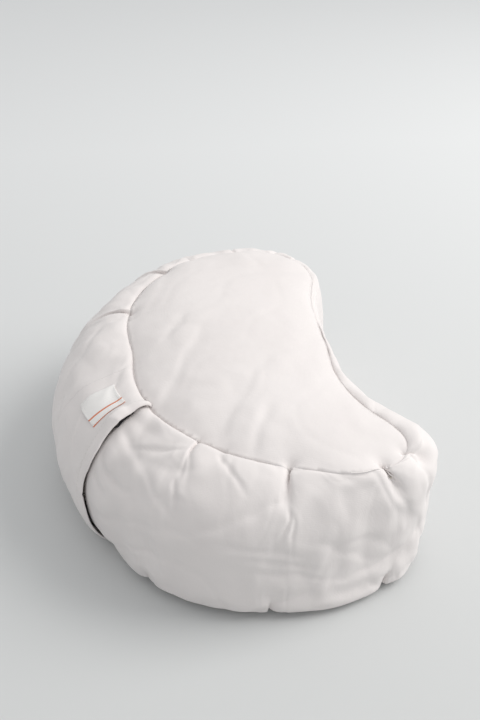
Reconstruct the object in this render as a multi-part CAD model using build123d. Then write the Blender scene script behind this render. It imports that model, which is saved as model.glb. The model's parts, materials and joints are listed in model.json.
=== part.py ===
from build123d import *
import math
import os

# Crescent floor cushion. A zipped cotton cover holds a zipped cotton liner, which holds loose hulls.
# Millimetres. +Z is up and z = 0 is the floor. +X runs along the crescent to its right horn, +Y to
# its convex back. The origin is on the resting face, in the middle of the plan.

# Plan outline at the widest height: a back arc, two horn arcs and a front arc, each tangent to the next
HORN_X = 145.0
HORN_R = 85.0
BACK_R = 232.0
FRONT_R = 215.0

# Wall: it bulges out round a level ring, from the bottom seam up to the top seam
BULGE_R = 65.0
BULGE_Z = 57.0
BOTTOM_ANGLE = -58.0
TOP_ANGLE = 80.0
BULGE_STEPS = 12
HORN_LEAN = 45.0 / 65.0
FRONT_LEAN = 9.0 / 65.0

# Panels, seams and the layers inside the wall, as depths below the cover's outer face
CLOTH = 1.0
OPENING_REACH = 5.0
SEAM_GAP = 1.6
THREAD_R = 0.3
PANEL_LIFT = 1.0
CROWN = 18.0
CROWN_HALF_LENGTH = 180.0
CROWN_POINTS = 4
LINER_DEPTH = 6.0
LINER_CLOTH = 0.6
LINER_CROWN = 16.0
HULLS_DEPTH = 8.0
HULLS_INSET = 1.5
HULLS_CROWN_STEPS = 5
HULLS_CROWN_INSET = 36.0
HULLS_CROWN = 5.0
HOLLOW_END = 1.5
HOLLOW_SIDE = 1.0
HOLLOW_BEHIND = 0.6
LINER_FLOOR = 5.0

# Overlap flap on the back, its label and their stitching, as radii about the bulge's ring
FLAP_ROOT = 96.0
FLAP_EDGE = 116.0
FLAP_BOTTOM = -50.0
FLAP_TOP = 78.0
FLAP_INNER_R = 67.4
FLAP_CLOTH = 1.0
LABEL_START = 102.5
LABEL_END = 113.0
LABEL_BOTTOM = 47.0
LABEL_TOP = 75.0
LABEL_CLOTH = 0.5
LABEL_STITCH_INSET = 1.5
HEM_STITCH = 114.1
HEM_STITCH_TOP = 46.0
STITCH_LIFT = 0.2
STITCH_THICK = 0.3
STITCH_WIDE = 0.25
CUT_CLEARANCE = 0.1

# Zips: they climb the back wall under the flap. Radii are measured from the outer face of the cloth.
COVER_ZIP_PLAN = 114.4
LINER_ZIP_PLAN = 102.0
SLOT_HALF = 4.8
SLOT_BOTTOM = -37.0
SLOT_TOP = 77.0
TAPE_BOTTOM = -40.0
TAPE_TOP = 78.5
TAPE_WIDE = 12.0
TAPE_OUT = -2.5
TAPE_IN = -3.1
TOOTH_OUT = -1.6
TOOTH_IN = -3.6
TOOTH_LONG = 1.9
TOOTH_PITCH = 4.0
TOOTH_START = 0.25
TOOTH_END = 2.8
TAPE_START = 2.9
TEETH_BOTTOM = -31.0
TEETH_TOP = 74.0
STOP_LONG = 1.8
TOP_STOP_GAP = 0.6
BOTTOM_STOP_GAP = 2.0
PLATE_OUT = -0.4
PLATE_IN = -4.8
PLATE_THICK = 1.0
PLATE_HALF = 4.2
SLIDER_LONG = 11.0
SLIDER_ANGLE = 69.5
DIVIDER_HALF = 0.2
DIVIDER_LONG = 4.0
FLANGE_WIDE = 0.8
FLANGE_OUTER_REACH = 0.9
FLANGE_INNER_REACH = 0.4
BRIDGE_HALF = 0.9
BRIDGE_FOOT_START = 1.0
BRIDGE_FOOT_END = 1.8
BRIDGE_HIGH = 2.5
BRIDGE_THICK = 0.5
PIVOT_FORWARD = 2.7
PULL_IN = 0.3
PULL_OUT = 1.3
PULL_LONG = 15.0
PULL_HALF = 3.2
PULL_WIRE = 1.2
PULL_BAR_R = 0.5
COVER_PULL_TURN = 18.0
LINER_PULL_TURN = 0.0

# The plan's arc centres. The origin sits midway between the horns' ends and the back.
BACK_ABOVE_HORN = BACK_R - math.sqrt((BACK_R - HORN_R) ** 2 - HORN_X**2)
HORN_Y = (HORN_R - BACK_ABOVE_HORN) / 2
BACK_Y = HORN_Y - math.sqrt((BACK_R - HORN_R) ** 2 - HORN_X**2)
FRONT_Y = HORN_Y - math.sqrt((FRONT_R + HORN_R) ** 2 - HORN_X**2)
RING_R = BACK_R - BULGE_R
LINER_R = BULGE_R - LINER_DEPTH


def crescent(back_inset, horn_inset, front_inset, z):
    """Closed outline at height z, drawn in from the widest outline by three insets."""
    back = BACK_R - back_inset
    horn = HORN_R - horn_inset
    front = FRONT_R + front_inset
    to_back = back - horn
    to_front = front + horn
    spread = to_front**2 - to_back**2 + BACK_Y**2 - FRONT_Y**2
    horn_y = spread / (2 * (BACK_Y - FRONT_Y))
    horn_x = math.sqrt(to_back**2 - (horn_y - BACK_Y) ** 2)
    leave_back = math.atan2(horn_y - BACK_Y, horn_x)
    join_front = math.atan2(FRONT_Y - horn_y, -horn_x) - 2 * math.pi
    if leave_back - join_front > 2 * math.pi:
        join_front += 2 * math.pi

    def on_horn(angle, side):
        return (side * (horn_x + horn * math.cos(angle)), horn_y + horn * math.sin(angle), z)

    tip = (leave_back + join_front) / 2
    return Wire(
        [
            ThreePointArc(on_horn(leave_back, 1), (0, BACK_Y + back, z), on_horn(leave_back, -1)),
            ThreePointArc(on_horn(leave_back, -1), on_horn(tip, -1), on_horn(join_front, -1)),
            ThreePointArc(on_horn(join_front, -1), (0, FRONT_Y + front, z), on_horn(join_front, 1)),
            ThreePointArc(on_horn(join_front, 1), on_horn(tip, 1), on_horn(leave_back, 1)),
        ]
    )


def wall_height(angle, depth):
    return BULGE_Z + (BULGE_R - depth) * math.sin(math.radians(angle))


def wall_insets(angle, depth, extra=0.0):
    """How far in the wall stands at a profile angle, at the back, the horns and the front."""
    turned = 1 - math.cos(math.radians(angle))
    return [depth + extra + (lean * BULGE_R - depth) * turned for lean in (1, HORN_LEAN, FRONT_LEAN)]


def wall_section(angle, depth, extra=0.0):
    return crescent(*wall_insets(angle, depth, extra), wall_height(angle, depth))


def wall_angles():
    """Profile angles from the bottom seam to the top seam."""
    step = (TOP_ANGLE - BOTTOM_ANGLE) / BULGE_STEPS
    return [BOTTOM_ANGLE + step * i for i in range(BULGE_STEPS + 1)]


def wall_core(depth):
    return Solid.make_loft([wall_section(angle, depth) for angle in wall_angles()])


def wall_shell(depth, thick):
    """The wall as a sheet, open at both seams."""
    inside = depth + thick
    top_opening = extrude(Face(wall_section(TOP_ANGLE, inside)), OPENING_REACH, dir=(0, 0, 1))
    bottom_opening = extrude(Face(wall_section(BOTTOM_ANGLE, inside)), OPENING_REACH, dir=(0, 0, -1))
    return wall_core(depth) - wall_core(inside) - top_opening - bottom_opening


def crowned_panel(depth, thick, crown):
    """Top panel: one sheet, stretched over the mid-line of the crescent and thickened down."""
    z = wall_height(TOP_ANGLE, depth) + PANEL_LIFT
    insets = wall_insets(TOP_ANGLE, depth, extra=SEAM_GAP)
    rise = []
    for i in range(-CROWN_POINTS, CROWN_POINTS + 1):
        x = i * CROWN_HALF_LENGTH / (CROWN_POINTS + 1)
        back_y = BACK_Y + math.sqrt((BACK_R - insets[0]) ** 2 - x**2)
        front_y = FRONT_Y + math.sqrt((FRONT_R + insets[2]) ** 2 - x**2)
        rise.append(Vector(x, (back_y + front_y) / 2, z + crown * (1 - (x / CROWN_HALF_LENGTH) ** 4)))
    sheet = Face.make_surface(crescent(*insets, z), surface_points=rise)
    return Solid.thicken(sheet, -thick)


def flat_panel(depth, thick, bottom_z):
    outline = crescent(*wall_insets(BOTTOM_ANGLE, depth, extra=SEAM_GAP), bottom_z)
    return extrude(Face(outline), thick, dir=(0, 0, 1))


def seam_thread(angle, depth):
    """A round thread run along the gap between the wall's edge and a panel."""
    insets = wall_insets(angle, depth, extra=SEAM_GAP / 2)
    path = crescent(*insets, wall_height(angle, depth) + math.copysign(THREAD_R, angle))
    start = path @ 0
    circle = Face(Wire.make_circle(THREAD_R, Plane(start, z_dir=path % 0)))
    return Solid.sweep(circle, path, transition=Transition.RIGHT)


def back_patch(inner, outer, bottom, top, start, end):
    """Piece of the back bulge between two radii about its ring, two profile and two plan angles."""

    def at(radius, angle):
        turn = math.radians(angle)
        return (RING_R + radius * math.cos(turn), 0, BULGE_Z + radius * math.sin(turn))

    middle = (bottom + top) / 2
    outline = Wire(
        [
            ThreePointArc(at(outer, bottom), at(outer, middle), at(outer, top)),
            Line(at(outer, top), at(inner, top)),
            ThreePointArc(at(inner, top), at(inner, middle), at(inner, bottom)),
            Line(at(inner, bottom), at(outer, bottom)),
        ]
    )
    patch = revolve(Face(outline), axis=Axis.Z, revolution_arc=end - start)
    return patch.rotate(Axis.Z, start).moved(Location((0, BACK_Y, 0)))


# Zip parts are drawn at the bulge's ring: local X points out of the cushion, local Y runs along the
# wall, and turning about -Y climbs the bulge.
CLIMB = Axis((0, 0, 0), (0, -1, 0))


def placed(shape, plan_angle):
    turn = math.radians(plan_angle)
    spot = (RING_R * math.cos(turn), BACK_Y + RING_R * math.sin(turn), BULGE_Z)
    return shape.moved(Location(spot, (0, 0, plan_angle)))


def band(inner, outer, left, right, bottom, top):
    """Bar with a level cross-section, bent round the bulge from one profile angle to another."""
    corners = [(inner, left, 0), (outer, left, 0), (outer, right, 0), (inner, right, 0)]
    bent = revolve(Face(Wire.make_polygon(corners)), axis=CLIMB, revolution_arc=top - bottom)
    return bent.rotate(CLIMB, bottom)


def as_angle(length, radius):
    return math.degrees(length / radius)


def zip_tape(cloth_r, plan_angle, side):
    edges = sorted([side * TAPE_START, side * (TAPE_START + TAPE_WIDE)])
    tape = band(cloth_r + TAPE_IN, cloth_r + TAPE_OUT, *edges, TAPE_BOTTOM, TAPE_TOP)
    return placed(tape, plan_angle)


def zip_teeth(cloth_r, plan_angle, side):
    """One row of teeth. The two rows are half a pitch apart, as they mesh."""
    radius = cloth_r + TOOTH_OUT
    pitch = as_angle(TOOTH_PITCH, radius)
    long = as_angle(TOOTH_LONG, radius)
    edges = sorted([side * TOOTH_START, side * TOOTH_END])
    first = TEETH_BOTTOM + (pitch / 2 if side > 0 else 0)
    count = int((TEETH_TOP - first - long) / pitch) + 1
    tooth = band(cloth_r + TOOTH_IN, radius, *edges, first, first + long)
    return Compound([placed(tooth.rotate(CLIMB, pitch * i), plan_angle) for i in range(count)])


def zip_top_stops(cloth_r, plan_angle):
    radius = cloth_r + TOOTH_OUT
    bottom = TEETH_TOP + TOP_STOP_GAP
    top = bottom + as_angle(STOP_LONG, radius)
    edges = [(-TOOTH_END, -TOOTH_START), (TOOTH_START, TOOTH_END)]
    stops = [band(cloth_r + TOOTH_IN, radius, *edge, bottom, top) for edge in edges]
    return Compound([placed(stop, plan_angle) for stop in stops])


def zip_bottom_stop(cloth_r, plan_angle):
    radius = cloth_r + TOOTH_OUT
    top = TEETH_BOTTOM - BOTTOM_STOP_GAP
    bottom = top - as_angle(STOP_LONG, radius)
    return placed(band(cloth_r + TOOTH_IN, radius, -TOOTH_END, TOOTH_END, bottom, top), plan_angle)


def zip_slider(cloth_r, plan_angle):
    """Two plates joined by the divider that runs between the rows, with rims and a pull bridge."""
    half = as_angle(SLIDER_LONG / 2, cloth_r)
    low = SLIDER_ANGLE - half
    high = SLIDER_ANGLE + half
    outer_face = cloth_r + PLATE_OUT
    outer_back = outer_face - PLATE_THICK
    inner_face = cloth_r + PLATE_IN
    inner_back = inner_face + PLATE_THICK
    slider = band(outer_back, outer_face, -PLATE_HALF, PLATE_HALF, low, high)
    slider += band(inner_face, inner_back, -PLATE_HALF, PLATE_HALF, low, high)
    divider_low = high - as_angle(DIVIDER_LONG, cloth_r)
    slider += band(inner_face, outer_face, -DIVIDER_HALF, DIVIDER_HALF, divider_low, high)
    for side in (-1, 1):
        rim = sorted([side * PLATE_HALF, side * (PLATE_HALF - FLANGE_WIDE)])
        slider += band(outer_back - FLANGE_OUTER_REACH, outer_face, *rim, low, high)
        slider += band(inner_face, inner_back + FLANGE_INNER_REACH, *rim, low, high)
    pivot = SLIDER_ANGLE + as_angle(PIVOT_FORWARD, cloth_r)
    foot_start = as_angle(BRIDGE_FOOT_START, cloth_r)
    foot_end = as_angle(BRIDGE_FOOT_END, cloth_r)
    top = outer_face + BRIDGE_HIGH
    for low_end, high_end in ((-foot_end, -foot_start), (foot_start, foot_end)):
        slider += band(outer_back, top, -BRIDGE_HALF, BRIDGE_HALF, pivot + low_end, pivot + high_end)
    arch = (top - BRIDGE_THICK, top, -BRIDGE_HALF, BRIDGE_HALF, pivot - foot_end, pivot + foot_end)
    return placed(slider + band(*arch), plan_angle)


def zip_pull(cloth_r, plan_angle, turn):
    """Wire loop that hangs from the bridge and follows the wall, turned a little to one side."""
    pivot = SLIDER_ANGLE + as_angle(PIVOT_FORWARD, cloth_r)
    outer = Rectangle(2 * PULL_HALF, PULL_LONG - PULL_HALF, align=(Align.CENTER, Align.MAX))
    outer += Pos(0, PULL_HALF - PULL_LONG) * Circle(PULL_HALF)
    hole_half = PULL_HALF - PULL_WIRE
    hole = Rectangle(2 * hole_half, PULL_LONG - PULL_HALF, align=(Align.CENTER, Align.MAX))
    hole += Pos(0, PULL_HALF - PULL_LONG) * Circle(hole_half)
    # The loop is drawn looking in at the wall, with its length hanging down from the pivot
    across = (0, math.cos(math.radians(turn)), math.sin(math.radians(turn)))
    facing = Plane((0, 0, 0), x_dir=across, z_dir=(1, 0, 0))
    column = extrude(facing * (outer - hole), cloth_r + PULL_LONG)
    reach = as_angle(PULL_LONG, cloth_r)
    sheet = band(cloth_r + PULL_IN, cloth_r + PULL_OUT, -PULL_LONG, PULL_LONG, -2 * reach, reach)
    loop = column & sheet
    bar_r = cloth_r + (PULL_IN + PULL_OUT) / 2
    bar = Cylinder(PULL_BAR_R, 2 * PULL_HALF, rotation=(90, 0, 0)).rotate(Axis.X, turn)
    pull = loop + bar.moved(Location((bar_r, 0, 0)))
    return placed(pull.rotate(CLIMB, pivot), plan_angle)


def slotted(shell, cloth_r, plan_angle):
    """Opens a wall where its zip runs."""
    deep = LINER_DEPTH / 2
    slot = band(cloth_r - deep, cloth_r + deep, -SLOT_HALF, SLOT_HALF, SLOT_BOTTOM, SLOT_TOP)
    return shell - placed(slot, plan_angle)


def hulls():
    """The loose hulls as one body, domed under the top panel and hollowed behind the liner's zip."""
    sections = [wall_section(angle, HULLS_DEPTH, HULLS_INSET) for angle in wall_angles()]
    top_z = wall_height(TOP_ANGLE, HULLS_DEPTH)
    for i in range(1, HULLS_CROWN_STEPS + 1):
        share = i / HULLS_CROWN_STEPS
        inset = HULLS_INSET + HULLS_CROWN_INSET * share
        rise = HULLS_CROWN * (2 * share - share**2)
        sections.append(crescent(*wall_insets(TOP_ANGLE, HULLS_DEPTH, extra=inset), top_z + rise))
    zip_room = as_angle(TAPE_START + TAPE_WIDE + HOLLOW_SIDE, RING_R)
    edges = (LINER_ZIP_PLAN - zip_room, LINER_ZIP_PLAN + zip_room)
    ends = (TAPE_BOTTOM - HOLLOW_END, TAPE_TOP + HOLLOW_END)
    hollow = back_patch(LINER_R + PLATE_IN - HOLLOW_BEHIND, LINER_R, *ends, *edges)
    return Solid.make_loft(sections) - hollow


def label_stitching():
    """A frame of thread just inside the label's edges."""
    low_r = FLAP_INNER_R + FLAP_CLOTH + STITCH_LIFT + LABEL_CLOTH + STITCH_LIFT
    high_r = low_r + STITCH_THICK
    inset = as_angle(LABEL_STITCH_INSET, BULGE_R)
    inset_plan = as_angle(LABEL_STITCH_INSET, RING_R)
    wide = as_angle(STITCH_WIDE, BULGE_R)
    wide_plan = as_angle(STITCH_WIDE, RING_R)
    outside = (LABEL_BOTTOM + inset, LABEL_TOP - inset)
    outside += (LABEL_START + inset_plan, LABEL_END - inset_plan)
    inside = (outside[0] + wide, outside[1] - wide, outside[2] + wide_plan, outside[3] - wide_plan)
    cut = back_patch(low_r - CUT_CLEARANCE, high_r + CUT_CLEARANCE, *inside)
    return back_patch(low_r, high_r, *outside) - cut


flap_r = FLAP_INNER_R + FLAP_CLOTH
label_r = flap_r + STITCH_LIFT
hem_r = flap_r + STITCH_LIFT
hem_end = HEM_STITCH + as_angle(STITCH_WIDE, RING_R)

parts = {
    "top_panel": crowned_panel(0, CLOTH, CROWN),
    "side_wall": slotted(wall_shell(0, CLOTH), BULGE_R, COVER_ZIP_PLAN),
    "bottom_panel": flat_panel(0, CLOTH, 0),
    "top_seam_thread": seam_thread(TOP_ANGLE, 0),
    "bottom_seam_thread": seam_thread(BOTTOM_ANGLE, 0),
    "overlap_flap": back_patch(FLAP_INNER_R, flap_r, FLAP_BOTTOM, FLAP_TOP, FLAP_ROOT, FLAP_EDGE),
    "flap_hem_stitching": back_patch(
        hem_r, hem_r + STITCH_THICK, FLAP_BOTTOM, HEM_STITCH_TOP, HEM_STITCH, hem_end
    ),
    "sewn_label": back_patch(
        label_r, label_r + LABEL_CLOTH, LABEL_BOTTOM, LABEL_TOP, LABEL_START, LABEL_END
    ),
    "label_stitching": label_stitching(),
    "zip_tape_left": zip_tape(BULGE_R, COVER_ZIP_PLAN, -1),
    "zip_tape_right": zip_tape(BULGE_R, COVER_ZIP_PLAN, 1),
    "zip_teeth_left": zip_teeth(BULGE_R, COVER_ZIP_PLAN, -1),
    "zip_teeth_right": zip_teeth(BULGE_R, COVER_ZIP_PLAN, 1),
    "zip_top_stops": zip_top_stops(BULGE_R, COVER_ZIP_PLAN),
    "zip_bottom_stop": zip_bottom_stop(BULGE_R, COVER_ZIP_PLAN),
    "zip_slider": zip_slider(BULGE_R, COVER_ZIP_PLAN),
    "zip_pull": zip_pull(BULGE_R, COVER_ZIP_PLAN, COVER_PULL_TURN),
    "liner_top": crowned_panel(LINER_DEPTH, LINER_CLOTH, LINER_CROWN),
    "liner_wall": slotted(wall_shell(LINER_DEPTH, LINER_CLOTH), LINER_R, LINER_ZIP_PLAN),
    "liner_bottom": flat_panel(LINER_DEPTH, LINER_CLOTH, LINER_FLOOR),
    "liner_top_seam_thread": seam_thread(TOP_ANGLE, LINER_DEPTH),
    "liner_bottom_seam_thread": seam_thread(BOTTOM_ANGLE, LINER_DEPTH),
    "liner_zip_tape_left": zip_tape(LINER_R, LINER_ZIP_PLAN, -1),
    "liner_zip_tape_right": zip_tape(LINER_R, LINER_ZIP_PLAN, 1),
    "liner_zip_teeth_left": zip_teeth(LINER_R, LINER_ZIP_PLAN, -1),
    "liner_zip_teeth_right": zip_teeth(LINER_R, LINER_ZIP_PLAN, 1),
    "liner_zip_top_stops": zip_top_stops(LINER_R, LINER_ZIP_PLAN),
    "liner_zip_bottom_stop": zip_bottom_stop(LINER_R, LINER_ZIP_PLAN),
    "liner_zip_slider": zip_slider(LINER_R, LINER_ZIP_PLAN),
    "liner_zip_pull": zip_pull(LINER_R, LINER_ZIP_PLAN, LINER_PULL_TURN),
    "hull_fill": hulls(),
}

os.makedirs("parts", exist_ok=True)
for name, shape in parts.items():
    export_step(shape, f"parts/{name}.step")
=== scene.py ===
import json
import math

import bpy
import numpy as np
from mathutils import Matrix, Vector, geometry, kdtree


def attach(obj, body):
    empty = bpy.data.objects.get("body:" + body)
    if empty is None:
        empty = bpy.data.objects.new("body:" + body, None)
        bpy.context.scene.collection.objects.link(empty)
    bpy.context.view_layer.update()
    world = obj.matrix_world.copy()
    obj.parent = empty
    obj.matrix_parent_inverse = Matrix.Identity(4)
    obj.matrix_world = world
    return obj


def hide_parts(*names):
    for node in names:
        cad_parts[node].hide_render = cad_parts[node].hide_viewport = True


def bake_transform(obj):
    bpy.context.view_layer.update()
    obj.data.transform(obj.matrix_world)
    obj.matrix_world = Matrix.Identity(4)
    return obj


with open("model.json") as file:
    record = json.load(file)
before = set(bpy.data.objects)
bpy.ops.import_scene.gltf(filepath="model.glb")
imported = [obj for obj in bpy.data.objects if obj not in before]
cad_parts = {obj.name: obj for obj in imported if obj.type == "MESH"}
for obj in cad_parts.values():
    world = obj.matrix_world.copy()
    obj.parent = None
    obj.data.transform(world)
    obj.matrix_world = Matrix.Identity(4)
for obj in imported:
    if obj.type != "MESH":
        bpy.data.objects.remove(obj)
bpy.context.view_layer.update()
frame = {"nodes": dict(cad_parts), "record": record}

MM = 0.001

# The crescent's driving sizes, as in the CAD part. s runs along the widest outline from the middle of
# the back, towards the left horn (-X), and q runs down the wall from the top seam.
HORN_X = 145 * MM
HORN_R = 85 * MM
BACK_R = 232 * MM
FRONT_R = 215 * MM
BULGE_R = 65 * MM
BULGE_Z = 64 * MM
ZIP_BULGE_Z = 57 * MM
BACK_ABOVE_HORN = BACK_R - math.sqrt((BACK_R - HORN_R) ** 2 - HORN_X**2)
HORN_Y = (HORN_R - BACK_ABOVE_HORN) / 2
BACK_Y = HORN_Y - math.sqrt((BACK_R - HORN_R) ** 2 - HORN_X**2)
FRONT_Y = HORN_Y - math.sqrt((FRONT_R + HORN_R) ** 2 - HORN_X**2)

BACK_TURN = math.atan2(HORN_Y - BACK_Y, -HORN_X)
FRONT_TURN = math.atan2(HORN_Y - FRONT_Y, -HORN_X)
HORN_SWEEP = FRONT_TURN + math.pi - BACK_TURN
BACK_LENGTH = BACK_R * (BACK_TURN - math.pi / 2)
HORN_LENGTH = HORN_R * HORN_SWEEP
FRONT_LENGTH = FRONT_R * (FRONT_TURN - math.pi / 2)
HALF_LENGTH = BACK_LENGTH + HORN_LENGTH + FRONT_LENGTH

# Angles of the two seams on the wall's round section
TOP_ANGLE = math.radians(87)
BOTTOM_ANGLE = math.radians(-62)
SWEEP = TOP_ANGLE - BOTTOM_ANGLE

# The zips, their slots in the cloth, the flap over the cover's zip and the label. The flap's free edge
# and the label stand up to 1.5 degrees off the CAD part's.
ZIP_S = math.radians(114.4 - 90) * BACK_R
LINER_ZIP_S = math.radians(102 - 90) * BACK_R
SLOT_HALF = 5.4 * MM
SLOT_LOW = math.radians(-37)
SLOT_HIGH = math.radians(77)
FLAP_ROOT_S = math.radians(96 - 90) * BACK_R
FLAP_EDGE_S = math.radians(116.8 - 90) * BACK_R
HEM_WIDE = 9 * MM
LABEL_S = (math.radians(101 - 90) * BACK_R, math.radians(111.5 - 90) * BACK_R)
LABEL_ANGLES = (math.radians(77), math.radians(49))
PULL_S = 101 * MM
PULL_SHARE = 0.14

# Cloth thicknesses, and how deep the layers inside lie
COTTON = 0.8 * MM
LINER_COTTON = 0.6 * MM
FLAP_COTTON = 0.9 * MM
LABEL_TAPE = 0.35 * MM
LINER_DEPTH = 6 * MM
HULLS_DEPTH = 9 * MM
LAYER_SLACK = 6 * MM
CROWN = 20 * MM

# Lowest heights of the smooth wall, the finished wall and the flap
BASE_LOW = 0.5 * MM
WALL_LOW = 0.4 * MM
FLAP_LOW = 1.0 * MM

# Windows around the zips, as middle and half width along s: where the wall keeps the CAD part's round
# section, doesn't tilt, has no creases, takes little of the simulation and is pinned in it
ROUND_WINDOW = (80 * MM, 75 * MM)
LEVEL_WINDOW = (97 * MM, 26 * MM)
PLAIN_WINDOW = (83 * MM, 31 * MM)
STILL_WINDOW = (85 * MM, 32 * MM)
PINNED_WINDOW = (84 * MM, 36 * MM)


def wrap(distance):
    return (np.asarray(distance, float) + HALF_LENGTH) % (2 * HALF_LENGTH) - HALF_LENGTH


def outline(s):
    """Points and outward normals of the widest outline at distances s, as two n by 2 arrays."""
    s = wrap(s)
    side = np.where(s < 0, -1.0, 1.0)
    along = np.abs(s)
    back = math.pi / 2 + along / BACK_R
    horn = BACK_TURN + (along - BACK_LENGTH) / HORN_R
    front = FRONT_TURN - (along - BACK_LENGTH - HORN_LENGTH) / FRONT_R
    on_back = along <= BACK_LENGTH
    on_front = along > BACK_LENGTH + HORN_LENGTH
    angle = np.where(on_back, back, np.where(on_front, front + math.pi, horn))
    normal = np.stack([np.cos(angle), np.sin(angle)], 1)
    x0 = np.where(on_back | on_front, 0.0, -HORN_X)
    y0 = np.where(on_back, BACK_Y, np.where(on_front, FRONT_Y, HORN_Y))
    radius = np.where(on_back, BACK_R, np.where(on_front, -FRONT_R, HORN_R))
    point = np.stack([x0, y0], 1) + normal * radius[:, None]
    point[:, 0] *= side
    normal[:, 0] *= side
    return point, normal


def smooth(x, low, high):
    """Rises smoothly from 0 at low to 1 at high."""
    t = np.clip((x - low) / (high - low), 0, 1)
    return t * t * (3 - 2 * t)


def bell(x, middle, wide, power=2):
    """1 at the middle, falling to 0 past the half width; a high power gives a flat top."""
    return np.exp(-(((x - middle) / wide) ** power))


def unit(vectors):
    return vectors / np.maximum(np.linalg.norm(vectors, axis=-1, keepdims=True), 1e-12)


def noise(points, scale, seed):
    """Smooth value noise between -1 and 1 at n by 3 points, by adding turned sine waves."""
    rng = np.random.RandomState(seed)
    total = np.zeros(len(points))
    for _ in range(9):
        way = rng.normal(size=3)
        way /= np.linalg.norm(way)
        total += np.sin(points @ way * (2 * math.pi / scale) * rng.uniform(0.6, 1.5) + rng.uniform(0, 6.3))
    return total / 4.5


# How far the top seam stands in from the widest outline, and how far the cushion has slumped outwards,
# in millimetres at shares of the way round from the back to the front, on the left and on the right
SHARES = [0, 0.2, 0.4, 0.52, 0.62, 0.72, 0.82, 0.92, 1]
LEAN_LEFT = [82, 66, 60, 49, 31, 12, 27, 17, 0]
LEAN_RIGHT = [82, 59, 41, 45, 43, 30, 15, 6, 0]
SLUMP_LEFT = [0, 2, 4, -19, -25, 10, 18, 8, 5]
SLUMP_RIGHT = [0, 0, 4, 2, 0, -6, -6, 0, 4]

# The share of the lean that is left below the wall's middle, away from the zip and by it
UNDER = 0.15
UNDER_BY_ZIP = 0.6

# The top tilts up to the right, by this height at this distance from the middle
TILT = 7 * MM
TILT_REACH = 200 * MM


def round_the_wall(s, left, right):
    """Smooth periodic value in metres from millimetres listed at SHARES of each half."""
    fine = np.linspace(-HALF_LENGTH, HALF_LENGTH, 500, endpoint=False)
    share = np.abs(fine) / HALF_LENGTH
    value = np.where(fine > 0, np.interp(share, SHARES, left), np.interp(share, SHARES, right))
    soft = np.hanning(43)
    side = len(soft) // 2
    value = np.convolve(np.concatenate([value[-side:], value, value[:side]]), soft / soft.sum(), "valid")
    return np.interp(wrap(s), fine, value, period=2 * HALF_LENGTH) * MM


def wall_base(s, angle):
    """Smooth wall: points at outline distances s and profile angles, both n long."""
    point, normal = outline(s)
    near_zip = bell(wrap(s), *ROUND_WINDOW, 4)
    near_zip = near_zip * (1 - 0.7 * smooth(angle, math.radians(72), TOP_ANGLE))
    lean = round_the_wall(s, LEAN_LEFT, LEAN_RIGHT)
    lean = lean + (BULGE_R - lean) * near_zip
    slump = round_the_wall(s, SLUMP_LEFT, SLUMP_RIGHT) * (1 - near_zip)
    under = np.where(angle < 0, UNDER + (1 - UNDER) * near_zip * UNDER_BY_ZIP, 1.0)
    inset = lean * (1 - np.cos(angle)) * under - slump * np.sqrt(np.maximum(np.cos(angle), 0))
    flat = point - normal * inset[:, None]
    middle = BULGE_Z + (ZIP_BULGE_Z - BULGE_Z) * near_zip
    level = bell(wrap(s), *LEVEL_WINDOW, 6) * (1 - smooth(angle, math.radians(78), TOP_ANGLE))
    tilt = TILT * flat[:, 0] / TILT_REACH * np.maximum(np.sin(angle), 0) * (1 - level)
    z = middle + BULGE_R * np.sin(angle) + tilt
    return np.concatenate([flat, np.maximum(z, BASE_LOW)[:, None]], 1)


def grid_normals(grid):
    """Outward normals of a wall grid (columns run round the wall, rows run down it)."""
    return unit(np.cross(np.gradient(grid, axis=1), np.roll(grid, -1, 0) - np.roll(grid, 1, 0)))


# Pleats: place along the outline, depth, length down the wall, sideways drift (mm), side that laps over
TOP_PLEATS = [
    (-438, 2, 45, 4, 1),
    (-404, 3, 50, -4, -1),
    (-323, 4, 50, 6, 1),
    (-265, 1, 45, 0, -1),
    (-222, 6, 90, 80, -1),
    (-112, 7, 110, 48, -1),
    (191, 4, 64, 12, -1),
    (297, 9, 44, 3, 1),
    (415, 7, 44, 12, 1),
    (418, 3, 22, -4, 1),
    (445, 7, 30, 20, -1),
]
BOTTOM_PLEATS = [
    (-420, 6, 30, 0, 1),
    (-323, 6, 30, 0, 1),
    (-208, 6, 30, 0, -1),
    (-95, 6, 30, 0, -1),
    (179, 4, 25, 0, 1),
    (287, 5, 26, 0, -1),
    (410, 6, 34, 6, 1),
    (520, 5, 30, 0, -1),
]

# A pleat's fold: widths of its tuck and its lip with their growth down the pleat (mm), the lip's and the
# tuck's shares of the depth, how far the lip slides over, and the bend of the drift
PLAIN_FOLD = ((2.6, 7), (7, 5), (0.18, 1.0), 0.4, 1.0)
ROOF_FOLD = ((9, 4), (14, 5), (0.45, 0.45), 0.7, 1.5)

# The two pleats whose far side lies over the near side like a roof tile
ROOF_PLEATS = (-222, -112)


def fold_profile(x, sharp, depth, near, far, parts=PLAIN_FOLD[2]):
    """Height across a lap: a lip on the x > 0 side above a tuck on the x < 0 side."""
    lip_share, tuck_share = parts
    step = 1 / (1 + np.exp(-np.clip(2 * x / sharp, -40, 40)))
    lip = lip_share * depth * step * np.exp(-np.maximum(x, 0) / far)
    tuck = -tuck_share * depth * (1 - step) * np.exp(-np.maximum(-x, 0) / near)
    return lip + tuck, step


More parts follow.
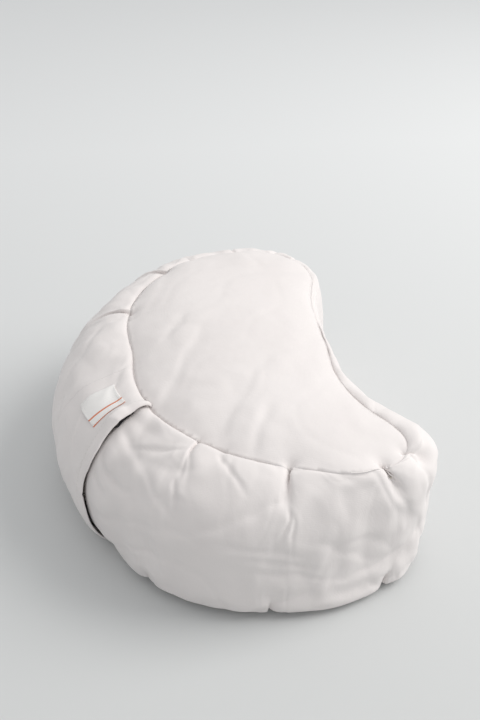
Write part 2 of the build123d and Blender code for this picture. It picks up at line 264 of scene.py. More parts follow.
def pleat(s, q, place, depth, length, drift, lap):
    """Height and sideways shift of one pleat that runs down from a seam at q = 0."""
    near, far, parts, slide, bend = ROOF_FOLD if place in ROOF_PLEATS else PLAIN_FOLD
    share = np.clip(q / (length * MM), 0, 1)
    fade = (1 - share) ** 1.2
    x = lap * wrap(s - place * MM - drift * MM * share**bend)
    sharp = (0.7 + 6 * share**1.4) * MM
    near_wide = (near[0] + near[1] * share) * MM
    far_wide = (far[0] + far[1] * share) * MM
    height, step = fold_profile(x, sharp, depth * MM, near_wide, far_wide, parts)
    shift = -lap * slide * depth * MM * step * np.exp(-np.maximum(x, 0) / (6 * MM))
    return height * fade, shift * fade * smooth(q, 0, 5 * MM)


# Creases of the wall: depth, half width, side that laps over (0 for a plain crease), then points (s, q) in mm
CREASES = [
    (2.3, 4.0, 1, [(101, 29), (130, 36), (158, 43), (186, 58), (206, 69)]),
    (2.2, 3.2, 0, [(101, 47), (129, 69), (161, 66)]),
    (1.6, 3.4, 0, [(102, 70), (134, 84)]),
    (3.0, 3.2, -1, [(136, 34), (168, 23), (195, 9)]),
    (2.2, 2.2, 1, [(190, 4), (203, 25), (208, 46)]),
    (1.6, 3.0, -1, [(198, 58), (203, 51), (212, 52)]),
    (1.2, 2.6, 0, [(196, 42), (203, 50), (204, 62)]),
    (1.6, 3.2, 0, [(219, 2), (238, 15), (262, 34)]),
    (0.8, 3.5, 0, [(236, 3), (240, 18), (243, 30)]),
    (2.2, 4.2, 1, [(78, 131), (120, 110), (171, 90), (216, 78), (239, 84)]),
    (1.5, 3.2, 0, [(160, 117), (194, 111)]),
    (2.6, 4.2, -1, [(299, 26), (272, 46), (242, 67), (220, 78)]),
    (1.8, 2.6, 0, [(299, 37), (297, 48), (292, 60)]),
    (1.2, 3.0, 0, [(301, 37), (304, 50), (301, 62)]),
    (1.0, 4.0, 0, [(246, 77), (280, 72), (312, 72)]),
    (1.1, 3.5, 0, [(262, 85), (295, 81), (329, 84)]),
    (0.9, 3.5, 0, [(270, 96), (305, 92), (341, 95)]),
    (1.9, 4.6, 1, [(305, 57), (352, 66), (400, 86)]),
    (2.4, 4.6, -1, [(418, 30), (436, 66), (454, 104)]),
    (1.3, 5.0, 0, [(385, 104), (402, 114), (415, 121)]),
    (2.4, 4.4, 1, [(330, 100), (372, 92), (412, 88), (452, 70)]),
    (7.5, 4.5, -1, [(441, 4), (452, 8), (464, 11), (482, 18)]),
    (2.4, 4.0, 1, [(452, 30), (460, 36), (470, 34)]),
    (1.6, 4.0, 0, [(446, 26), (444, 44), (450, 60)]),
    (1.6, 4.0, 1, [(-193, 19), (-170, 34), (-130, 52)]),
    (1.4, 4.0, -1, [(-80, 14), (-66, 40), (-60, 78)]),
]

# Small seeded puckers, which stay off these stretches of the wall (mm along s)
PUCKER_COUNT = 70
NO_PUCKERS = [(-10, 130), (150, 480)]


def smooth_path(path):
    """Points along a path through a few points, with its corners cut round."""
    path = np.array(path, float)
    for _ in range(3):
        first = path[:-1] * 0.75 + path[1:] * 0.25
        second = path[:-1] * 0.25 + path[1:] * 0.75
        cut = np.stack([first, second], 1).reshape(-1, 2)
        path = np.concatenate([path[:1], cut, path[-1:]])
    return path


def crease(x, y, depth, width, lap, path):
    """Height of a crease given in mm along a path in a plane; it fades at both ends."""
    path = smooth_path(path) * MM
    width = width * MM
    reach = 6 * width
    height = np.zeros(x.shape)
    low, high = path.min(0) - reach, path.max(0) + reach
    near = (x > low[0]) & (x < high[0]) & (y > low[1]) & (y < high[1])
    if not near.any():
        return height
    px, py = x[near], y[near]
    best = np.full(px.shape, 1e9)
    side = np.zeros(px.shape)
    part = np.zeros(px.shape)
    length = np.concatenate([[0], np.cumsum(np.linalg.norm(np.diff(path, axis=0), axis=1))])
    for k, (a, b) in enumerate(zip(path[:-1], path[1:])):
        way = b - a
        size = max(way @ way, 1e-12)
        t = np.clip(((px - a[0]) * way[0] + (py - a[1]) * way[1]) / size, 0, 1)
        dx, dy = px - a[0] - t * way[0], py - a[1] - t * way[1]
        gap = np.hypot(dx, dy)
        closer = gap < best
        best = np.where(closer, gap, best)
        side = np.where(closer, way[0] * dy - way[1] * dx, side)
        part = np.where(closer, (length[k] + t * math.sqrt(size)) / length[-1], part)
    ends = smooth(part, -0.12, 0.22) * (1 - smooth(part, 0.72, 1.12))
    if lap:
        across = lap * (best * np.sign(side))
        value = fold_profile(across, 0.7 * width, depth * MM, width, 2.5 * width)[0]
    else:
        value = depth * MM * (0.3 * bell(best, 0, 2.4 * width) - bell(best, 0, 0.8 * width))
    height[near] = value * ends * (1 - smooth(best, 0.7 * reach, reach))
    return height


def roughened(x, y, points, rough, scale, seed):
    """Places in a plane, shifted a little by noise."""
    return x + rough * noise(points, scale, seed), y + rough * noise(points, scale, seed + 1)


def wall_creases(ss, q):
    """The listed creases, and small seeded puckers that leave the zip and the left side plain."""
    places = np.stack([ss.ravel(), q.ravel(), 0 * q.ravel()], 1)
    x, y = roughened(wrap(ss).ravel(), q.ravel(), places, 1.6 * MM, 26 * MM, 31)
    x, y = x.reshape(ss.shape), y.reshape(ss.shape)
    height = sum(crease(x, y, *item) for item in CREASES)
    rng = np.random.RandomState(7)
    for _ in range(PUCKER_COUNT):
        start = np.array([rng.uniform(-600, 600), rng.uniform(8, 130)])
        turn = rng.uniform(-0.9, 0.9) + (math.pi / 2 if start[1] < 40 else 0)
        long = rng.uniform(22, 70)
        bend = rng.uniform(-0.25, 0.25) * long
        way = np.array([math.cos(turn), math.sin(turn)])
        middle = start + way * long / 2 + bend * np.array([-way[1], way[0]])
        depth, width = rng.uniform(0.5, 1.3), rng.uniform(2.6, 5.0)
        lap = int(rng.choice([-1, 0, 1]))
        if any(low < start[0] < high for low, high in NO_PUCKERS):
            continue
        height += crease(x, y, depth, width, lap, [start, middle, start + way * long])
    return height


def wall_rows(count):
    """Shares of the way down the wall, closer together at both seams."""
    share = np.linspace(0, 1, count)
    return share - 0.06 * np.sin(2 * math.pi * share)


def wall_grid(s, share):
    """Smooth wall points at outline distances s (columns) and shares of the way down (rows)."""
    ss, rr = np.meshgrid(s, share, indexing="ij")
    aa = TOP_ANGLE + (BOTTOM_ANGLE - TOP_ANGLE) * rr
    return ss, aa, wall_base(ss.ravel(), aa.ravel()).reshape(*ss.shape, 3)


def seam_distances(grid):
    """Distances of a wall grid's points down from the top seam, and up from the bottom seam."""
    step = np.linalg.norm(np.diff(grid, axis=1), axis=2)
    q = np.concatenate([np.zeros((len(grid), 1)), np.cumsum(step, 1)], 1)
    return q, q[:, -1:] - q


COLUMN_STEP = 2.6 * MM
FINE_STEP = 0.5 * MM


def fine_columns():
    """Outline distances of the wall's columns, closer together at each pleat."""
    fine = np.arange(-HALF_LENGTH, HALF_LENGTH, FINE_STEP)
    density = np.full(len(fine), 1 / COLUMN_STEP)
    for place, *_ in TOP_PLEATS + BOTTOM_PLEATS:
        density += bell(wrap(fine - place * MM), 0, 9 * MM) / (1.0 * MM)
    total = np.concatenate([[0], np.cumsum(density * FINE_STEP)])
    count = int(total[-1])
    edges = np.concatenate([fine, [HALF_LENGTH]])[: len(total)]
    columns = np.interp(np.arange(count) * total[-1] / count, total, edges)
    return with_slot(columns, ZIP_S)


def with_slot(columns, middle):
    """Moves the nearest two columns onto the edges of a zip's slot."""
    for edge in (middle - SLOT_HALF, middle + SLOT_HALF):
        columns[np.argmin(np.abs(columns - edge))] = edge
    return columns


def grid_faces(columns, rows):
    i, j = np.meshgrid(np.arange(columns), np.arange(rows - 1), indexing="ij")
    a = i * rows + j
    b = (i + 1) % columns * rows + j
    return np.stack([a, a + 1, b + 1, b], 2).reshape(-1, 4)


def point_tree(points):
    tree = kdtree.KDTree(len(points))
    for i, p in enumerate(points):
        tree.insert(p, i)
    tree.balance()
    return tree


def in_plan(points):
    """The points' plan places, as points at height 0."""
    return [(p[0], p[1], 0) for p in points]


def plan_lattice(ring, spacing):
    """Plan points of a triangular lattice over a ring's box that keep clear of the ring."""
    low, high = ring[:, :2].min(0), ring[:, :2].max(0)
    rows = []
    for k, y in enumerate(np.arange(low[1], high[1], spacing * 0.866)):
        x = np.arange(low[0] + (k % 2) * spacing / 2, high[0], spacing)
        rows.append(np.stack([x, np.full(len(x), y)], 1))
    inner = np.concatenate(rows)
    tree = point_tree(in_plan(ring))
    gap = np.array([tree.find(p)[2] for p in in_plan(inner)])
    return inner[gap > 0.6 * spacing]


def triangulated(ring, spacing):
    """Plan points and triangles inside a seam ring. The first points are the ring's own."""
    flat = np.concatenate([ring[:, :2], plan_lattice(ring, spacing)])
    n = len(ring)
    edges = [(i, (i + 1) % n) for i in range(n)]
    found = geometry.delaunay_2d_cdt([Vector(p) for p in flat], edges, [list(range(n))], 1, 1e-9)
    points = np.array([tuple(v) for v in found[0]])
    faces = np.array([f for f in found[2] if len(f) == 3])
    # The ring's points keep their numbers, and points that no triangle uses are dropped
    source = np.full(len(points), -1)
    for i, origins in enumerate(found[3]):
        on_ring = [k for k in origins if k < n]
        if on_ring:
            source[i] = on_ring[0]
    rest = np.nonzero(source < 0)[0]
    rest = rest[np.isin(rest, faces)]
    order = source.copy()
    order[rest] = n + np.arange(len(rest))
    return np.concatenate([ring[:, :2], points[rest]]), order[faces]


def neighbours(faces):
    pairs = np.concatenate([faces[:, [0, 1]], faces[:, [1, 2]], faces[:, [2, 0]]])
    return np.unique(np.sort(pairs, 1), axis=0)


def relax(values, pairs, fixed, push, rounds):
    """Repeatedly replaces each free value by its neighbours' mean plus a push."""
    degree = np.maximum(np.bincount(pairs.ravel(), minlength=len(values)), 1)
    for _ in range(rounds):
        total = np.bincount(pairs[:, 0], values[pairs[:, 1]], len(values))
        total += np.bincount(pairs[:, 1], values[pairs[:, 0]], len(values))
        values = np.where(fixed, values, total / degree + push)
    return values


def panel_points(ring, spacing, crown):
    """Sheet inside a seam ring, blown up like a film to a given crown."""
    plan, faces = triangulated(ring, spacing)
    pairs = neighbours(faces)
    fixed = np.arange(len(plan)) < len(ring)
    z = np.full(len(plan), ring[:, 2].mean())
    z[: len(ring)] = ring[:, 2]
    rounds = int((60 * MM / spacing) ** 2 * 4) + 200
    z = relax(z, pairs, fixed, 0, rounds)
    if crown:
        lift = relax(np.zeros(len(plan)), pairs, fixed, 1.0, rounds)
        lift /= lift.max()
        full = smooth(0.8 * plan[:, 0] - 0.6 * (plan[:, 1] - HORN_Y), -30 * MM, 90 * MM)
        z += crown * (full * lift**0.5 + (1 - full) * lift**0.8)
    return np.concatenate([plan, z[:, None]], 1), faces


def mesh_object(name, points, faces):
    mesh = bpy.data.meshes.new(name)
    mesh.from_pydata([tuple(p) for p in points], [], [tuple(int(i) for i in f) for f in faces])
    mesh.update()
    mesh.polygons.foreach_set("use_smooth", [True] * len(mesh.polygons))
    piece = bpy.data.objects.new(name, mesh)
    bpy.context.scene.collection.objects.link(piece)
    return piece


def closed_shell(wall, top, low):
    """Joins a wall grid and its panels (points, faces) into one shell; also each panel's point numbers."""
    columns, rows = wall.shape[:2]
    count = columns * rows
    after = count + len(top[0]) - columns
    seam = np.arange(columns) * rows
    top_ids = np.concatenate([seam, np.arange(count, after)])
    low_ids = np.concatenate([seam + rows - 1, after + np.arange(len(low[0]) - columns)])
    points = np.concatenate([wall.reshape(-1, 3), top[0][columns:], low[0][columns:]])
    faces = [tuple(f) for f in grid_faces(columns, rows)]
    faces += [tuple(top_ids[f]) for f in top[1]] + [tuple(low_ids[f]) for f in low[1]]
    return points, faces, top_ids, low_ids


def near_pleats(s, q, pleats):
    """High at the pleats' seam ends, falling to 0 away from them."""
    value = np.zeros_like(s)
    for place, depth, length, *_ in pleats:
        here = bell(wrap(s - place * MM), 0, 16 * MM) * bell(q, 0, length * MM)
        value = np.maximum(value, depth / 10 * here)
    return value


def notched(grid, ss, q, up):
    """Draws the seams in at each pleat, so that the cloth between two pleats runs straighter."""
    pull = np.zeros(ss.shape)
    seams = ((TOP_PLEATS, 0.45, 9, q, 22), (BOTTOM_PLEATS, 0.5, 8, up, 12))
    for pleats, share, wide, distance, reach in seams:
        for place, depth, *_ in pleats:
            ds = np.abs(wrap(ss - place * MM))
            pull += share * depth * MM * np.exp(-ds / (wide * MM)) * bell(distance, 0, reach * MM)
    moved = grid.copy()
    moved[..., :2] -= grid_normals(grid)[..., :2] * pull[..., None]
    moved[..., 2] -= 0.6 * np.where(q < up, pull, 0)
    return moved


# The cloth simulation: mesh size, slack of the loosest cloth, hold to the smooth shape, frames, reach
SIM_STEP = 4.6 * MM
SIM_ROWS = 34
SLACK = 0.055
HOLD = 0.5
SIM_FRAMES = 30
SIM_REACH = 14 * MM
CLOTH_STIFFNESS = {"tension": 40, "compression": 40, "shear": 10, "bending": 400}
CLOTH_DAMPING = {"tension": 0.5, "compression": 0.5, "shear": 0.5, "bending": 0.1, "air": 1}
CLOTH_MASS = 0.02
CLOTH_PRESSURE = 20


def add_weights(piece, name, weights):
    group = piece.vertex_groups.new(name=name)
    for i, weight in enumerate(weights):
        if weight > 0.004:
            group.add([i], float(weight), "REPLACE")


def blown_points(cushion, count):
    """Runs the cloth simulation on a closed cover and returns where its points end."""
    cloth = cushion.modifiers.new("cloth", "CLOTH")
    settings = cloth.settings
    for name, value in CLOTH_STIFFNESS.items():
        setattr(settings, name + "_stiffness", value)
    for name, value in CLOTH_DAMPING.items():
        setattr(settings, name + "_damping", value)
    settings.quality = 6
    settings.mass = CLOTH_MASS
    settings.use_pressure = True
    settings.uniform_pressure_force = CLOTH_PRESSURE
    settings.effector_weights.gravity = 0
    settings.vertex_group_mass = "pin"
    settings.pin_stiffness = 1
    settings.shrink_min = -SLACK
    settings.shrink_max = 0
    settings.vertex_group_shrink = "tight"
    cloth.collision_settings.use_collision = False
    cloth.collision_settings.use_self_collision = False
    cloth.point_cache.frame_start = 1
    cloth.point_cache.frame_end = SIM_FRAMES
    scene = bpy.context.scene
    for f in range(1, SIM_FRAMES + 1):
        scene.frame_set(f)
    blown = cushion.evaluated_get(bpy.context.evaluated_depsgraph_get()).to_mesh()
    found = np.empty(count * 3)
    blown.vertices.foreach_get("co", found)
    scene.frame_set(1)
    return found.reshape(-1, 3)


def cloth_shape():
    """Blows the cover up with slack cloth and returns how far its wall and its top panel moved."""
    s = np.linspace(-HALF_LENGTH, HALF_LENGTH, int(2 * HALF_LENGTH / SIM_STEP), endpoint=False)
    share = wall_rows(SIM_ROWS)
    ss, _, base = wall_grid(s, share)
    q, up = seam_distances(base)
    wall = notched(base, ss, q, up)
    top = panel_points(wall[:, 0], SIM_STEP, CROWN)
    low, low_faces = panel_points(wall[:, -1], 2 * SIM_STEP, 0)
    points, faces, top_ids, low_ids = closed_shell(wall, top, (low, low_faces[:, ::-1]))
    columns = len(s)
    count = ss.size
    after = count + len(top[0]) - columns
    start = points + 0.8 * MM * noise(points, 30 * MM, 5)[:, None] * np.array([0.6, 0.6, 1.0])
    fixed = np.concatenate([top_ids[:columns], low_ids])
    start[fixed] = points[fixed]
    cushion = mesh_object("slack_cover", start, faces)

    # The seams, the zip and the underside are pinned, the rest is held a little
    grip = np.exp(-np.minimum(q, up) / (3 * MM))
    by_zip = bell(wrap(ss - PINNED_WINDOW[0]), 0, PINNED_WINDOW[1], 6)
    pin = np.full(len(points), HOLD)
    pin[:count] = np.maximum(np.maximum(grip, 0.97 * by_zip), HOLD).ravel()
    pin[fixed] = 1

    # The cloth is slackest at the pleats and in random patches
    slack = np.zeros(len(points))
    puckers = np.maximum(near_pleats(ss, q, TOP_PLEATS), near_pleats(ss, up, BOTTOM_PLEATS))
    patches = smooth(noise(points, 110 * MM, 3), -0.3, 1.0)
    slack[:count] = 0.25 + 0.35 * patches[:count] + 0.5 * np.minimum(puckers, 1).ravel()
    slack[count:after] = 0.06 + 0.2 * patches[count:after]
    add_weights(cushion, "pin", pin)
    add_weights(cushion, "tight", 1 - np.clip(slack, 0, 1))

    move = blown_points(cushion, len(points)) - points
    bpy.data.objects.remove(cushion)
    move[after:] = 0
    size = np.linalg.norm(move, axis=1, keepdims=True)
    move *= np.minimum(1, SIM_REACH / np.maximum(size, 1e-9))
    return s, share, move[:count].reshape(base.shape), top[0], move[top_ids]


def sampled(values, i, k, fx, y):
    """Bilinear values of a grid between its columns i and k, at rows y."""
    j = np.minimum(y.astype(int), values.shape[1] - 2)
    fx = fx[..., None]
    fy = (y - j)[..., None]
    near = values[i, j] * (1 - fy) + values[i, j + 1] * fy
    far = values[k, j] * (1 - fy) + values[k, j + 1] * fy
    return near * (1 - fx) + far * fx


def resample(values, s, share, ss, rr):
    """Values of a grid that runs all round, at other outline distances and shares."""
    x = (ss - s[0]) / (s[1] - s[0]) % len(s)
    i = np.floor(x).astype(int) % len(s)
    y = np.interp(rr, share, np.arange(len(share)))
    return sampled(values, i, (i + 1) % len(s), x - np.floor(x), y)


def blurred(values, rounds):
    """A wall grid's values, softened along and across."""
    for _ in range(rounds):
        values = (np.roll(values, 1, 0) + np.roll(values, -1, 0) + 2 * values) / 4
        inner = (values[:, :-2] + values[:, 2:] + 2 * values[:, 1:-1]) / 4
        values = np.concatenate([values[:, :1], inner, values[:, -1:]], 1)
    return values


def hill(ss, q, s_mm, q_mm, s_wide, q_wide):
    """A round hill on the wall, 1 high; place and half widths in mm."""
    return bell(ss, s_mm * MM, s_wide * MM) * bell(q, q_mm * MM, q_wide * MM)


def horn_corner(ss, q):
    """Loose cloth at the left horn's corner: a full lip that stands out over a small dark hollow."""
    lip = 10 * hill(ss, q, 470, 27, 26, 20) + 3 * hill(ss, q, 459, 8, 10, 5)
    hollow = 7 * hill(ss, q, 453, 17, 7, 6)
    pinch = 1.0 * hill(ss, q, 420, 22, 9, 10)
    tail = 5 * hill(ss, q, 424, 138, 16, 14) - 3 * hill(ss, q, 402, 136, 8, 12)
    return (lip - hollow - pinch + tail) * MM


def seam_grooves(ss, q, up):
    """Depth of the grooves that both seams lie in."""
    lapped = smooth(ss, 104 * MM, 118 * MM) * (1 - smooth(ss, 236 * MM, 262 * MM))
    tight = smooth(ss, 262 * MM, 300 * MM) * (1 - smooth(ss, 405 * MM, 420 * MM))
    top = (2.2 + 1.0 * lapped - 1.3 * tight) * MM * np.exp(-q / ((2.4 - 0.9 * lapped) * MM))
    return top + 2.0 * MM * np.exp(-up / (3 * MM))


WALL_ROWS = 84
WALL_SIM_SHARE = 0.7
TOP_SIM_SHARE = 0.35


def build_wall(sim):
    """Grid of wall points, columns by rows, from the top seam to the bottom seam."""
    s = fine_columns()
    share = wall_rows(WALL_ROWS)
    ss, aa, base = wall_grid(s, share)
    q, up = seam_distances(base)
    height = np.zeros_like(ss)
    shift = np.zeros_like(ss)
    for distance, pleats in ((q, TOP_PLEATS), (up, BOTTOM_PLEATS)):
        for item in pleats:
            h, x = pleat(ss, distance, *item)
            height += h
            shift += x
    height -= seam_grooves(ss, q, up)
    height += horn_corner(ss, q)
    height += (wall_creases(ss, q) + crumple(base, 0.8 * MM)) * (1 - bell(ss, *PLAIN_WINDOW, 10))
    moved = wall_base((ss + shift).ravel(), aa.ravel()).reshape(base.shape)
    moved = notched(moved, ss, q, up)
    if sim:
        sim_s, sim_share, move = sim[:3]
        rr = np.broadcast_to(share, ss.shape)
        move = blurred(resample(move, sim_s, sim_share, ss, rr), 4) * WALL_SIM_SHARE
        moved = moved + move * (1 - 0.95 * bell(ss, *STILL_WINDOW, 10))[..., None]
    normal = grid_normals(blurred(base, 8))
    finished = moved + normal * height[..., None]
    finished[..., 2] = np.maximum(finished[..., 2], WALL_LOW)
    return s, share, finished


def crumple(points, depth):
    """Soft facets: rounded valleys between flat patches of cloth."""
    flat = points.reshape(-1, 3)
    wide = np.abs(noise(flat, 95 * MM, 41))
    small = np.abs(noise(flat, 42 * MM, 42))
    value = -bell(wide, 0, 0.11) - 0.35 * bell(small, 0, 0.12)
    return (depth * value).reshape(points.shape[:-1])


# Soft folds of the top panel: depth, half width, side that laps over, then plan points (x, y) in mm
TOP_FOLDS = [
    (2.4, 6.5, 1, [(-98, 68), (-40, 35), (28, 2)]),
    (1.1, 6.0, 0, [(10, 40), (27, 26), (50, 20)]),
    (1.0, 6.0, 0, [(20, 8), (26, 26), (22, 48)]),
    (2.2, 7.0, -1, [(-139, 20), (-94, -8), (-49, -39)]),
    (1.6, 6.0, 0, [(-158, 0), (-132, -18), (-103, -32)]),
    (1.2, 7.0, 1, [(60, 60), (104, 34), (150, 26)]),
    (1.0, 7.0, 0, [(96, 96), (110, 66), (140, 50)]),
]


def top_folds(points):
    x, y = roughened(points[:, 0], points[:, 1], points, 2 * MM, 40 * MM, 33)
    return crumple(points, 0.35 * MM) + sum(crease(x, y, *fold) for fold in TOP_FOLDS)


def build_top(ring, sim):
    """Top panel inside its seam ring, with its folds and its share of the simulation."""
    points, faces = panel_points(ring, 3.2 * MM, CROWN)
    inside = np.arange(len(points)) >= len(ring)
    from_seam = relax(np.zeros(len(points)), neighbours(faces), ~inside, 0.02, 30)
    points[:, 2] += top_folds(points) * smooth(from_seam, 0, 0.4)
    if sim:
        coarse, move = sim[3:]
        tree = point_tree(in_plan(coarse))
        for p in points[len(ring) :]:
            hits = tree.find_n((p[0], p[1], 0), 4)
            weight = np.array([1 / (h[2] ** 2 + 1e-6) for h in hits])
            step = TOP_SIM_SHARE * (move[[h[1] for h in hits]] * (weight / weight.sum())[:, None]).sum(0)
            p += np.array([step[0], step[1], np.clip(step[2], -2 * MM, 5 * MM)])
    return points, faces


def inner_layer(depth, lump, seed):
    """Columns, rows, wall, top and bottom of a layer inside the cover, with soft lumps."""
    s = with_slot(np.linspace(-HALF_LENGTH, HALF_LENGTH, 360, endpoint=False), LINER_ZIP_S)
    share = wall_rows(46)
    ss, aa, base = wall_grid(s, share)
    by_zip = bell(wrap(ss), LINER_ZIP_S, 45 * MM, 6)
    flat = base.reshape(-1, 3)
    bumps = noise(flat, 28 * MM, seed) + 0.5 * noise(flat, 11 * MM, seed + 1)
    sunk = depth + (1 - by_zip) * (LAYER_SLACK - lump * bumps.reshape(ss.shape))
    # Near the zip the lower wall stands out from its round section, and the layers inside do not
    tuck = (1 - UNDER) * (1 - UNDER_BY_ZIP) * BULGE_R * (1 - np.cos(aa)) * np.cos(aa) * (aa < 0)
    sunk = sunk + by_zip * tuck
    flat_out = outline(ss.ravel())[1] * np.cos(aa.ravel())[:, None]
    out = np.concatenate([flat_out, np.sin(aa.ravel())[:, None]], 1).reshape(base.shape)
    wall = base - out * sunk[..., None]
    wall[..., 2] = np.clip(wall[..., 2], depth, wall[:, :1, 2])
    top, top_faces = panel_points(wall[:, 0], 7 * MM, CROWN - LAYER_SLACK)
    low, low_faces = panel_points(wall[:, -1], 12 * MM, 0)
    top[len(s) :, 2] += lump * noise(top[len(s) :], 24 * MM, seed)
    return s, share, wall, (top, top_faces), (low, low_faces[:, ::-1])


def slotted_faces(s, share, middle_s):
    """Faces of a wall grid, without those in the way of a zip."""
    middle = (s + np.roll(s, -1)) / 2
    angle = TOP_ANGLE + (BOTTOM_ANGLE - TOP_ANGLE) * (share[1:] + share[:-1]) / 2
    in_slot = (np.abs(middle - middle_s) < SLOT_HALF)[:, None] & (angle > SLOT_LOW) & (angle < SLOT_HIGH)
    return grid_faces(len(s), len(share))[~in_slot.ravel()]


def cloth_piece(name, points, faces, thick, slot, *nodes):
    """A mesh on the cover's body that stands for some CAD nodes."""
    piece = mesh_object(name, points, faces)
    if thick:
        thicken(piece, thick)
    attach(piece, "cover")
    use_material(piece, slot)
    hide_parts(*nodes)


def build_liner():
    s, share, wall, top, low = inner_layer(LINER_DEPTH, 0.8 * MM, 11)
    faces = slotted_faces(s, share, LINER_ZIP_S)
    look = (LINER_COTTON, "liner_cotton")
    threads = ("liner_top_seam_thread", "liner_bottom_seam_thread")
    cloth_piece("liner_wall_cloth", wall.reshape(-1, 3), faces, *look, "liner_wall", *threads)
    cloth_piece("liner_top_cloth", *top, *look, "liner_top")
    cloth_piece("liner_bottom_cloth", *low, *look, "liner_bottom")


def build_hulls():
    shell = closed_shell(*inner_layer(HULLS_DEPTH, 1.6 * MM, 17)[2:])
    cloth_piece("loose_hulls", *shell[:2], 0, "hulls", "hull_fill")


def build_cover():
    sim = cloth_shape()
    s, share, wall = build_wall(sim)
    faces = slotted_faces(s, share, ZIP_S)
    look = (COTTON, "cover_cotton")
    threads = ("top_seam_thread", "bottom_seam_thread")
    cloth_piece("side_wall_cloth", wall.reshape(-1, 3), faces, *look, "side_wall", *threads)
    cloth_piece("top_panel_cloth", *build_top(wall[:, 0], sim), *look, "top_panel")
    points, faces = panel_points(wall[:, -1], 6 * MM, 0)
    cloth_piece("bottom_panel_cloth", points, faces[:, ::-1], *look, "bottom_panel")
    cover = (wall, s, share)
    build_flap(cover)
    build_label(cover)
    build_flap_stitches(cover)


def grid_sheet(name, outer, thick):
    """A sheet from a grid of outer points, thickened inwards and closed at its edges."""
    columns, rows = outer.shape[:2]
    i, j = np.meshgrid(np.arange(columns - 1), np.arange(rows - 1), indexing="ij")
    a = i * rows + j
    faces = np.stack([a, a + 1, a + rows + 1, a + rows], 2).reshape(-1, 4)
    piece = mesh_object(name, outer.reshape(-1, 3), faces)
    thicken(piece, thick)
    return piece


def thicken(piece, thick):
    """Gives a sheet its thickness, inwards, as part of its mesh."""
    solid = piece.modifiers.new("cloth", "SOLIDIFY")
    solid.thickness = thick
    solid.offset = -1
    mesh = bpy.data.meshes.new_from_object(piece.evaluated_get(bpy.context.evaluated_depsgraph_get()))
    piece.modifiers.clear()
    piece.data = mesh
    mesh.polygons.foreach_set("use_smooth", [True] * len(mesh.polygons))


def surface_at(cover, ss, rr):
    """Points and normals of the finished wall by the zip."""
    wall, s, share = cover
    even = np.linspace(-30 * MM, 170 * MM, 201)
    low = np.clip(np.searchsorted(s, even) - 1, 0, len(s) - 2)
    part = ((even - s[low]) / (s[low + 1] - s[low]))[:, None, None]
    pick = wall[low] * (1 - part) + wall[low + 1] * part
    normal = unit(np.cross(np.gradient(pick, axis=1), np.gradient(pick, axis=0)))
    x = np.clip((ss - even[0]) / (even[1] - even[0]), 0, len(even) - 2)
    y = np.interp(rr, share, np.arange(len(share)))
    i = np.minimum(x.astype(int), len(even) - 2)
    return sampled(pick, i, i + 1, x - i, y), sampled(normal, i, i + 1, x - i, y)


def flap_lift(ss, rr):
    """How far the flap stands off the wall: sewn down at its root and both seams, bowed over the zip."""
    across = smooth(ss, FLAP_ROOT_S, FLAP_ROOT_S + 35 * MM)
    ends = (1 - np.exp(-rr / 0.035)) * (1 - np.exp(-(1 - rr) / 0.05))
    belly = np.sin(math.pi * np.clip(rr, 0, 1)) ** 0.8
    bow = 1.4 + 1.9 * bell(ss, ZIP_S, 11 * MM) + 0.7 * belly * across
    hem_s = FLAP_EDGE_S - HEM_WIDE
    hem = 0.5 * smooth(ss, hem_s - 1 * MM, hem_s + 0.5 * MM) - 0.45 * bell(ss, hem_s, 0.7 * MM)
    knot = 2.6 * bell(ss, FLAP_EDGE_S - 3 * MM, 5 * MM) * bell(rr, 0, 0.045)
    over_pull = 6.6 * bell(ss, PULL_S, 10 * MM) * bell(rr, PULL_SHARE, 0.085)
    rise = (0.9 + bow * across + hem) * (0.25 + 0.75 * ends) + knot + over_pull
    return (rise + flap_relief(ss, rr) * across * ends) * MM


def flap_relief(ss, rr):
    """Shallow wrinkles of the flap in millimetres, never low enough to reach the zip."""
    places = np.stack([ss.ravel(), rr.ravel() * BULGE_R * 2.6, 0 * ss.ravel()], 1)
    wave = 0.45 * noise(places, 42 * MM, 51)
    line = 0.8 * bell(noise(places, 70 * MM, 52), 0, 0.12)
    return np.maximum(wave + line, -0.5).reshape(ss.shape)


def on_flap(cover, ss, rr, lift):
    """Points at a lift above the flap's lie, and the wall's normals there."""
    point, normal = surface_at(cover, ss, rr)
    return point + normal * (flap_lift(ss, rr) + lift)[..., None], normal


def finish_on_flap(piece, node, slot):
    """Bakes a piece's placement into its mesh, hides the CAD node that it stands for and gives the piece its
    material.
    """
    root, edge = (Vector((*outline(s)[0][0], BULGE_Z)) for s in ([FLAP_ROOT_S], [FLAP_EDGE_S]))
    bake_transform(piece)
    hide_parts(node)
    use_material(piece, slot)


def build_flap(cover):
    """The flap: columns run from its root to its slightly wavy free edge, rows run down the wall."""
    u = np.linspace(0, 1, 90)
    u = 1 - (1 - u) ** 1.3
    uu, vv = np.meshgrid(u, np.linspace(0, 1, 130), indexing="ij")
    wobble = 1.2 * np.sin(vv * 9.0 + 0.6) + 0.8 * np.sin(vv * 21.0)
    edge = FLAP_EDGE_S + (wobble * MM) * np.sin(math.pi * vv)
    ss = FLAP_ROOT_S + (edge - FLAP_ROOT_S) * uu
    # The free edge turns under as a soft round
    roll = np.clip((uu - 0.985) / 0.015, 0, 1)
    grid, _ = on_flap(cover, ss, vv, -(roll**2) * 1.1 * MM)
    grid[..., 2] = np.maximum(grid[..., 2], FLAP_LOW)
    finish_on_flap(grid_sheet("flap_cloth", grid, FLAP_COTTON), "overlap_flap", "cover_cotton")


